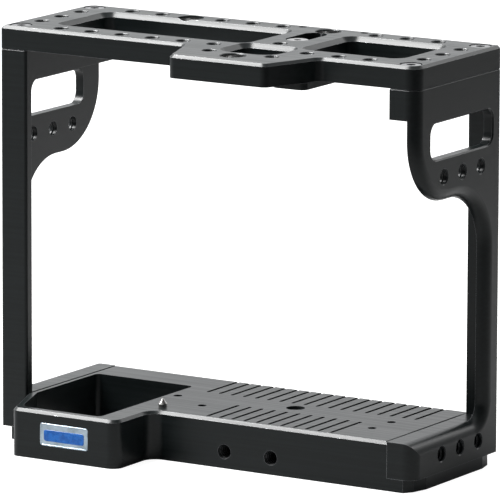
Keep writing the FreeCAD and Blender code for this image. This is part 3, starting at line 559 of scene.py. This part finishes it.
def tapped_holes():
    """Rows of (mount name, mouth point, outward axis, radius). The mouth is where the axis
    meets its own plate's box, or the insert's own top where the hole is in an insert."""
    found = []
    for name, mount in mounts.items():
        radius = mount["dims"].get("r_mm", mount["dims"].get("hole_r_mm", 0.0)) * MM
        if mount["kind"] not in ("threaded_hole", "bolt_pattern") or radius < SMALL_HOLE:
            continue
        axis = np.array(mount["axis"], float)
        normal = int(np.argmax(np.abs(axis)))
        outward = axis[normal] > 0
        if radius > LARGE_HOLE:
            node = "top_thread_inserts" if outward else "base_thread_inserts"
        else:
            node = "base_plate" if name.startswith("base") else "top_plate"
        if name.startswith(("left", "right")):
            node = "side_plate_left" if name.startswith("left") else "side_plate_right"
        low, high = (np.array(corner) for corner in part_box(node))
        for centre in hole_rows(mount):
            mouth = centre.copy()
            mouth[normal] = (high if outward else low)[normal]
            if name == "base_front_pair":
                mouth[normal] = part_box("side_plate_right")[0][1]
            found.append((name, mouth, axis, radius))
    return found


HOLES = tapped_holes()
print("tapped holes:", len(HOLES))


# %% The winding ridge
STEPS_PER_TURN = 24
FOOT_SUNK = 0.05 * MM
HALF_FLANK = 0.36
TAPER, LEAST_SWELL = 0.25, 0.04


def winding_ridge(mouth, axis, radius, pitch, length, ridge):
    """A ridge of triangular section along a helix: a point at angle t lies at
    mouth - axis * (start + pitch * t / 2 pi) plus its radius times (cos t, sin t) in the
    plane across the axis. Its foot is sunk in the wall, its crest stands out by ridge, and
    the crest sinks back to the wall over the first and last quarter turn."""
    turns = length / pitch
    t = np.linspace(0.0, turns, int(round(STEPS_PER_TURN * turns)) + 1)
    swell = np.clip(np.minimum(t, turns - t) / TAPER, LEAST_SWELL, 1.0)
    side = np.eye(3)[(int(np.argmax(np.abs(axis))) + 1) % 3]
    other = np.cross(axis, side)
    foot = np.full(len(t), radius + FOOT_SUNK)
    reach = np.stack([foot, radius - ridge * swell, foot], axis=1)
    along = pitch * (t[:, None] + np.array([-HALF_FLANK, 0.0, HALF_FLANK]))
    angle = 2 * math.pi * t[:, None, None]
    ring = np.cos(angle) * side + np.sin(angle) * other
    points = mouth + reach[..., None] * ring - along[..., None] * axis
    index = np.arange(3 * len(t)).reshape(-1, 3)
    here, after = index[:-1], index[1:]
    quads = np.stack([here, np.roll(here, -1, 1), np.roll(after, -1, 1), after], axis=2)
    quads = quads.reshape(-1, 4)
    triangles = np.vstack([quads[:, [0, 1, 2]], quads[:, [0, 2, 3]],
                           index[0][None, ::-1], index[-1][None, :]])
    points = points.reshape(-1, 3)
    corner = points[triangles] - mouth
    volume = np.einsum("ij,ij->", corner[:, 0], np.cross(corner[:, 1], corner[:, 2]))
    return points, triangles if volume > 0 else triangles[:, ::-1]


def face_lists(rows):
    """Face rows as plain lists, whether they came as an array or as lists."""
    return rows.tolist() if isinstance(rows, np.ndarray) else rows


def add_piece(name, parts, material, body):
    """One object from a list of (points, faces), with its place in its mesh."""
    counts = np.cumsum([0] + [len(points) for points, _ in parts])
    points = np.vstack([points for points, _ in parts])
    faces = [[corner + int(first) for corner in row]
             for (_, rows), first in zip(parts, counts) for row in face_lists(rows)]
    mesh = bpy.data.meshes.new(name)
    mesh.from_pydata(points.tolist(), [], faces)
    mesh.materials.append(material)
    item = bpy.data.objects.new(name, mesh)
    bpy.context.collection.objects.link(item)
    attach(item, body)
    print(name, "faces:", len(faces))
    return item


# %% Threads in the holes
QUARTER_PITCH, THREE_EIGHTHS_PITCH = 1.27 * MM, 1.5875 * MM
MOUTH_FREE = 0.75 * MM
DEPTHS = {"top": 6.6, "tab": 6.6, "bridge": 6.6, "base": 8.0, "left": 2.4, "right": 2.4}
INSERT_DEPTH, FOOT_DEPTH = 4.6, 7.0
RIDGE_SHARE = 0.26


def thread_depth(name, radius):
    """How far down a hole its thread runs: by insert, by foot row, or by plate."""
    if radius > LARGE_HOLE:
        return INSERT_DEPTH * MM
    if "foot" in name:
        return FOOT_DEPTH * MM
    return DEPTHS[name.split("_")[0]] * MM


def threads(name, wanted, slot):
    """All ridges for the holes whose mount names start with one of the wanted words."""
    parts = []
    for mount, mouth, axis, radius in HOLES:
        large = radius > LARGE_HOLE
        if large != (slot == "insert_steel") or not mount.startswith(wanted):
            continue
        pitch = THREE_EIGHTHS_PITCH if large else QUARTER_PITCH
        parts.append(winding_ridge(mouth - MOUTH_FREE * axis, axis, radius, pitch,
                                   thread_depth(mount, radius), RIDGE_SHARE * pitch))
    finish = FINISHES["insert_steel" if slot == "insert_steel" else "anodised_thread"]
    return add_piece(name, parts, finish, "cage")


threads("threads_top_plate", ("top", "tab", "bridge"), "anodised_top")
threads("threads_side_plates", ("left", "right"), "anodised_side")
threads("threads_base_plate", ("base",), "anodised_base")
threads("threads_inserts", ("tab", "rear", "base"), "insert_steel")

# %% [markdown]
# ## The badge
#
# A small plate on the base's front carries the only colour on the cage. It is a plain
# silver plate with a raised rim and an enamel band, with no words or signs. Enamel fills a
# shallow field and stands a hair proud, which is why the band is its own rounded slab and
# not a painted stripe: its edge catches light.

# %% Rounded outlines
def rounded_outline(wide, tall, corner, steps=7):
    """Points round a rectangle with quarter-circle corners: each corner's centre plus the
    corner radius times (cos, sin) of an angle that turns through its own quarter."""
    quarter = np.linspace(0.0, math.pi / 2, steps)
    turn = (np.arange(4) * math.pi / 2)[:, None] + quarter
    signs = np.array([(1, 1), (-1, 1), (-1, -1), (1, -1)])
    centre = signs * (np.array([wide, tall]) / 2 - corner)
    return (centre[:, None, :] + corner * np.stack([np.cos(turn), np.sin(turn)], 2)
            ).reshape(-1, 2)


def rings_to_faces(rings, closed):
    """Quads between neighbouring rings. A closed run also joins its last ring to its first;
    an open run is capped at both ends."""
    count, around = len(rings), len(rings[0])
    index = np.arange(count * around).reshape(count, around)
    after = np.roll(index, -1, 0) if closed else index[1:]
    here = index if closed else index[:-1]
    quads = np.stack([here, np.roll(here, -1, 1), np.roll(after, -1, 1), after], 2)
    faces = quads.reshape(-1, 4).tolist()
    if not closed:
        faces += [index[0, ::-1].tolist(), index[-1].tolist()]
    return faces


def front_slab(centre, sizes, depths, closed=False):
    """Rings in planes across Y: each has its own (wide, tall, corner) and depth, so a slab
    or a hollow rim is a profile carried round a rounded rectangle."""
    rings = []
    for (wide, tall, corner), depth in zip(sizes, depths):
        flat = rounded_outline(wide, tall, corner)
        rings.append(np.column_stack([centre[0] + flat[:, 0], np.full(len(flat), depth),
                                      centre[1] + flat[:, 1]]))
    faces = rings_to_faces(rings, closed)
    return np.vstack(rings), faces


def face_outwards(item):
    """Asks Blender to turn a closed mesh's faces outwards."""
    work = bmesh.new()
    work.from_mesh(item.data)
    bmesh.ops.recalc_face_normals(work, faces=work.faces)
    work.to_mesh(item.data)
    work.free()


print("an outline has", len(rounded_outline(2.0, 1.0, 0.2)), "points")


# %% Enamel
def enamel():
    """Blue enamel: a deep colour that pools a little lighter and darker, under a clear coat."""
    paint = bpy.data.materials.new("blue_enamel")
    paint.use_nodes = True
    tree = paint.node_tree
    skin = tree.nodes["Principled BSDF"]
    place = look_node(tree, "ShaderNodeTexCoord").outputs["Object"]
    pool = ramp(tree, stretched_noise(tree, place, (1.0, 1.0, 1.0), 420.0), 0.3, 0.7)
    tree.links.new(blend_colour(tree, pool, (0.004, 0.085, 0.36, 1.0), (0.008, 0.14, 0.52, 1.0)),
                   skin.inputs["Base Color"])
    tree.links.new(blend_value(tree, pool, 0.22, 0.34), skin.inputs["Roughness"])
    skin.inputs["Coat Weight"].default_value = 0.2
    skin.inputs["Specular IOR Level"].default_value = 0.3
    return paint


# %% Badge band and rim
badge_low, badge_high = (np.array(corner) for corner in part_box("badge"))
badge_wide, badge_tall = (badge_high - badge_low)[[0, 2]]
badge_centre = ((badge_high + badge_low) / 2)[[0, 2]]
badge_face = badge_low[1]
PROUD = 0.10 * MM
SUNK = 0.05 * MM
EASE = 0.05 * MM
RIM = 0.45 * MM
CORNER, BAND_CORNER = 1.0 * MM, 0.9 * MM
OUTER = 0.10 * MM
band_wide, band_tall = badge_wide - 3.2 * MM, 0.50 * badge_tall
band = add_piece(
    "badge_band",
    [front_slab(badge_centre + np.array([0.0, -0.3 * MM]),
                [(band_wide, band_tall, BAND_CORNER), (band_wide, band_tall, BAND_CORNER),
                 (band_wide - 2 * EASE, band_tall - 2 * EASE, BAND_CORNER - EASE)],
                [badge_face + SUNK, badge_face - PROUD + EASE, badge_face - PROUD])],
    enamel(), "cage")
rim_sizes = [(badge_wide - 2 * inset, badge_tall - 2 * inset, CORNER - inset)
             for inset in (OUTER, OUTER, OUTER + EASE, RIM - EASE, RIM, RIM)]
rim_depths = [badge_face + SUNK, badge_face - PROUD + EASE, badge_face - PROUD,
              badge_face - PROUD, badge_face - PROUD + EASE, badge_face + SUNK]
rim = add_piece("badge_rim", [front_slab(badge_centre, rim_sizes, rim_depths, closed=True)],
                FINISHES["badge_metal"], "cage")
for item in (band, rim):
    face_outwards(item)
